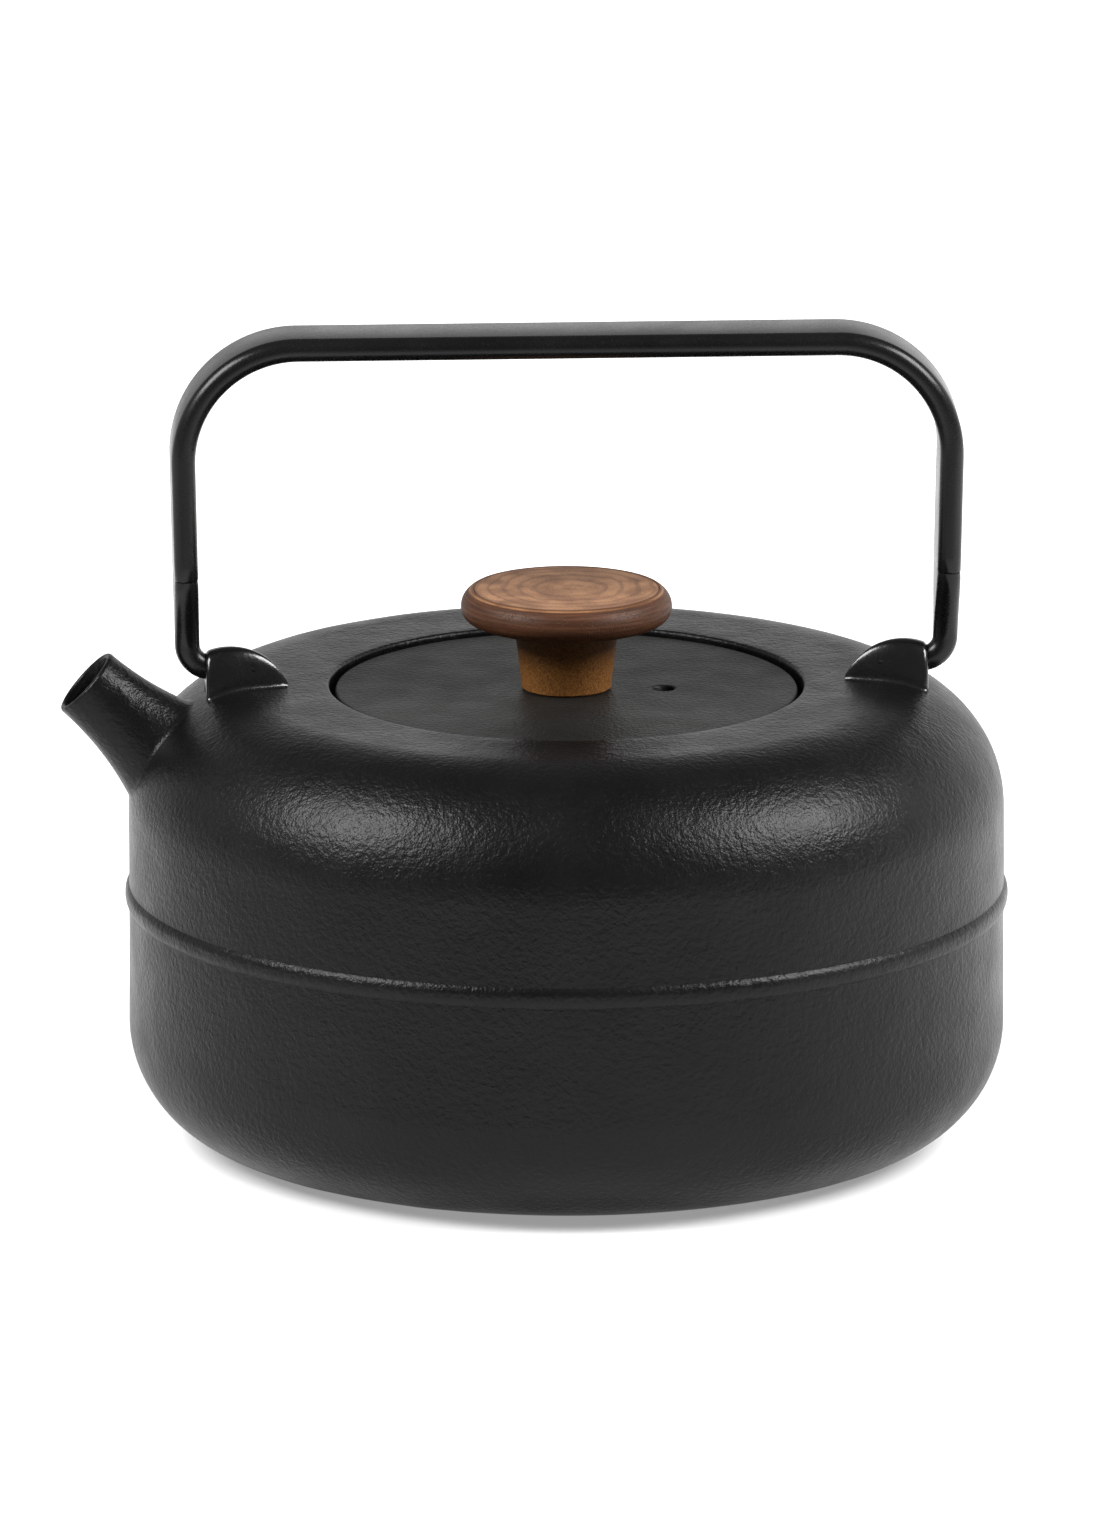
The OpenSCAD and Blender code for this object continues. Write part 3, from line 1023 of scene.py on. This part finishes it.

# %% [markdown]
# The knob shows both faces of its wood. From above the growth rings run round the pith,
# which lies near the middle. On the side the rings show as soft bands, crossed by the
# fine marks of the gouge, and the side is also painted darker than the top, as painted
# shade for light that falls from above. So its colour comes from the distance to the pith,
# bent by noise, and the marks are noise that is squeezed flat along the lathe's axis.

# %% Wood
early_wood = (0.232, 0.117, 0.057)
middle_wood = (0.138, 0.063, 0.029)
late_wood = (0.052, 0.021, 0.011)
shaded_side_dark, shaded_side_pale = (0.034, 0.012, 0.005), (0.072, 0.028, 0.012)
stem_dark, stem_light = (0.095, 0.036, 0.009), (0.190, 0.082, 0.020)
# head_shadow_paint is the colour of the head's painted shadow on the stem.
head_shadow_paint, pore_dark = (0.020, 0.008, 0.003), (0.035, 0.015, 0.008)
pith_x, pith_y = 1.2, 0.8
year_turn = 3.1


def head_wood(f):
    """The head's top: growth rings round a dark pith, bent by noise."""
    pith = f.vector("SUBTRACT", f.point, (pith_x * MM, pith_y * MM, 0))
    across = f.vector("MULTIPLY", pith, (1, 1, 0.12))
    bent = f.length(across) * (1 / MM) + f.noise(9, 2.0) * 2.4 + f.noise(2.2, 2.0) * 0.5
    year = f.node("ShaderNodeMath", {"operation": "SINE"}, {0: bent * year_turn})
    patches = f.ramp(f.noise(7, 2.0, at=across), 0.35, 0.65)
    ground = f.blend(patches, paint(early_wood), paint(middle_wood))
    ringed = f.blend(f.ramp(year, 0.1, 1.0) * 0.45, ground, paint(late_wood))
    return f.blend(1 - f.ramp(bent, 1.6, 3.2), ringed, paint(late_wood))


def stem_wood(f, height):
    """The stem: fine flecks, and a painted shadow of the head that gets darker towards the head.
    """
    flecks = f.ramp(f.noise(0.4, 2.0), 0.3, 0.7)
    stem = f.blend(flecks, paint(stem_dark), paint(stem_light))
    # The stem is painted darker just under the head, as the head's painted shadow.
    clear_of_head_shadow = 1 - f.ramp(height, (head_low - 10) * MM, (head_low - 1) * MM) * 0.6
    return f.blend(clear_of_head_shadow, paint(head_shadow_paint), stem)


def turned_wood(name):
    f = Finish(name)
    height = f.axis("Z")
    upper = f.ramp(height, (knob_top - 0.5) * MM, (knob_top - 0.25) * MM)
    side_marks = f.noise(5, 3.0, 0.7, stretch=(0.35, 0.35, 11))
    # The side's colours are painted darker than the top's, as painted shade for light from above;
    # their soft bands are the wood's own.
    side = f.blend(f.ramp(side_marks, 0.35, 0.7), paint(shaded_side_dark), paint(shaded_side_pale))
    below = f.ramp(height, (head_low - 2.5) * MM, (head_low + 2.0) * MM)
    turned_side = f.blend(below, stem_wood(f, height), side)
    colour = f.blend(upper, turned_side, head_wood(f))
    from_axis = f.length(f.vector("MULTIPLY", f.point, (1, 1, 0)))
    # A dark ring of late wood is painted into the groove at the top's edge, as painted shade in
    # the groove.
    groove = f.ramp(from_axis, (flat_r - 0.7) * MM, (flat_r - 0.35) * MM)
    groove = groove * (1 - f.ramp(from_axis, (flat_r + 0.1) * MM, (flat_r + 0.5) * MM)) * upper
    colour = f.blend(groove * 0.8, colour, paint(late_wood))
    pores = f.noise(0.32, 1.0, stretch=(1, 1, 0.35))
    flecked = f.blend(f.ramp(pores, 0.6, 0.78) * 0.7, colour, paint(pore_dark))
    rough = f.ramp(pores, 0.3, 0.8) * 0.15 + 0.45
    marks = f.relief(side_marks, 0.05)
    grain = f.relief(1 - f.ramp(pores, 0.55, 0.75), 0.05, under=marks)
    return f.surface(Base_Color=flecked, Roughness=rough, Normal=grain, Specular_IOR_Level=0.15)


coat(turned_wood("turned_fruitwood"), knob)

# %% [markdown]
# The small metal pieces are seldom seen, but brass that is machined and steel that is
# rolled both show the tool's direction, so their roughness is stretched noise.

# %% Brass and steel


def bright_metal(name, colour, gloss, size, stretch):
    f = Finish(name)
    marks = f.noise(size, 3.0, 0.6, stretch=stretch)
    worn = f.noise(6, 3.0)
    tint = f.blend(f.ramp(worn, 0.35, 0.75) * 0.5, paint(colour), paint(colour, 0.72))
    rough = f.ramp(marks, 0.3, 0.7) * 0.14 + f.ramp(worn, 0.3, 0.7) * 0.08 + gloss
    return f.surface(Base_Color=tint, Roughness=rough, Metallic=1.0, Normal=f.relief(marks, 0.01))


brass = bright_metal("insert_brass", (0.72, 0.52, 0.22), 0.22, 0.8, (1, 1, 6))
zinc = bright_metal("zinc_steel", (0.62, 0.62, 0.60), 0.28, 0.8, (1, 1, 1))
stainless = bright_metal("infuser_steel", (0.60, 0.59, 0.57), 0.24, 2.5, (0.3, 0.3, 9))
coat(brass, insert)
coat(zinc, washer, screw)
coat(stainless, sieve, ring, bottom)

# %% [markdown]
# ## The camera
# A catalogue shows a pot from far off through a long lens, so that its near and far side
# are drawn at nearly the same size. An orthographic camera would draw them at the same
# size, but then the pot looks flat. This camera stands six metres away, a little above
# the pot and a little to the spout's side. Its lens follows from that distance and from
# the size at which the pot is to be drawn.

# %% Camera
frame_height = 1528
pot_middle = Vector((0, 0, 75.3))
camera_turn = math.radians(-3)
camera_rise = math.radians(14.07)
camera_far = 6000
dots_per_mm = 4.981
sensor = 36

back = Vector((math.sin(camera_turn) * math.cos(camera_rise),
               -math.cos(camera_turn) * math.cos(camera_rise), math.sin(camera_rise)))
right = Vector((math.cos(camera_turn), math.sin(camera_turn), 0))
up = back.cross(right)
aim = pot_middle - right * 2.5 + up * 0.72
lens_data = bpy.data.cameras.new("camera")
camera = bpy.data.objects.new("camera", lens_data)
bpy.context.scene.collection.objects.link(camera)
lens_data.sensor_width = sensor
lens_data.lens = dots_per_mm * camera_far / frame_height * sensor
lens_data.clip_end = 100
camera.location = (aim + back * camera_far) * MM
camera.rotation_mode = "QUATERNION"
camera.rotation_quaternion = (-back).to_track_quat("-Z", "Y")
bpy.context.scene.camera = camera
print("lens", round(lens_data.lens, 1), "mm")

# %% [markdown]
# ## Light
# Black satin iron shows the room more than its own colour, so the room is laid out like
# a product photographer's. A soft box high over each side gives the two highlights on
# the shoulder. White paper hangs low behind the pot, dimmer towards the left, and the
# rest of the room is dark grey. Cards could do that, but they would show up in views
# from other sides, so the world does it, with a gradient by direction.

# %% Lamps


def lamp(name, spot, size, watts):
    """A soft box that faces the pot."""
    data = bpy.data.lights.new(name, "AREA")
    data.shape = "RECTANGLE"
    data.size, data.size_y = size[0] * MM, size[1] * MM
    data.energy = watts
    light = bpy.data.objects.new(name, data)
    bpy.context.scene.collection.objects.link(light)
    light.location = Vector(spot) * MM
    light.rotation_mode = "QUATERNION"
    light.rotation_quaternion = (lamps_face - Vector(spot)).to_track_quat("-Z", "Y")
    print(name, watts, "W")


lamps_face = Vector((0, 0, 60))
lamp("soft_box_left", (-850, -300, 850), (560, 560), 24)
lamp("soft_box_right", (880, -300, 830), (600, 560), 26)

# %% The room round the pot
# The gradients run along the unit vector of the direction in which a ray leaves.
paper_full, paper_end = 0.26, 0.5
behind_from, behind_full = -0.35, 0.5
room_grey = 0.10

world = bpy.data.worlds.new("studio")
bpy.context.scene.world = world
world.use_nodes = True
sky = Nodes(world.node_tree, "Generated")
low_down = 1 - sky.ramp(sky.axis("Z"), paper_full, paper_end)
behind = sky.ramp(sky.axis("Y"), behind_from, behind_full)
rightward = sky.ramp(sky.axis("X"), -1.0, 0.6) * 0.7 + 0.3
room = sky.blend(low_down * behind * rightward, paint((1, 1, 1), room_grey), paint((1, 1, 1)))
background = world.node_tree.nodes["Background"]
sky.feed(background.inputs["Color"], room)
background.inputs["Strength"].default_value = 1.35

# %% [markdown]
# ## The floor
# The floor is white paper that glows a little, as painted light, so that it stays white up
# to a soft shadow under the pot without lamps that would burn out the wood. The iron mirrors
# it as well: the paper and its glow are painted darker in front and to the left, as painted
# shade, and there the wall's lower half gets its dark side. The glow is least under the pot,
# or it would light the shadow away, and its drop near the pot paints part of that shadow.

# %% Floor
# Distances from the pot's middle, in metres.
front_end, front_full = -0.55, -0.28
left_end, left_full = -0.35, -0.12
shadow_end, close_end, far_end = 0.085, 0.16, 0.9
paper_tone = 0.62
floor_size = 14

floor_finish = Finish("studio_floor")
# front, left and lit paint shade: the paper and its glow fall off to black in front and to the
# left.
front = floor_finish.ramp(floor_finish.axis("Y"), front_end, front_full)
left = floor_finish.ramp(floor_finish.axis("X"), left_end, left_full)
lit = (front * 0.55 + 0.45) * (left * 0.45 + 0.55)
black = (0, 0, 0, 1)
paper_with_painted_shade = floor_finish.blend(lit, black, paint((1, 1, 1), paper_tone))
away = floor_finish.length(floor_finish.point)
# The glow drops near the pot, which paints part of the soft shadow round it.
clear_of_pot = floor_finish.ramp(away, shadow_end, close_end) * 0.4
spread = floor_finish.ramp(away, close_end, far_end) * 0.28
glow = floor_finish.blend((clear_of_pot + spread + 0.32) * lit, black, paint((1, 1, 1)))
floor_finish.surface(Base_Color=paper_with_painted_shade, Roughness=0.7, Specular_IOR_Level=0.2,
                     Emission_Color=glow, Emission_Strength=0.95)
bpy.ops.mesh.primitive_plane_add(size=floor_size)
floor = bpy.context.object
floor.name = "studio_floor"
floor.data.materials.append(floor_finish.material)
bpy.context.scene.view_settings.view_transform = "Standard"
print("floor", floor_size, "m across")
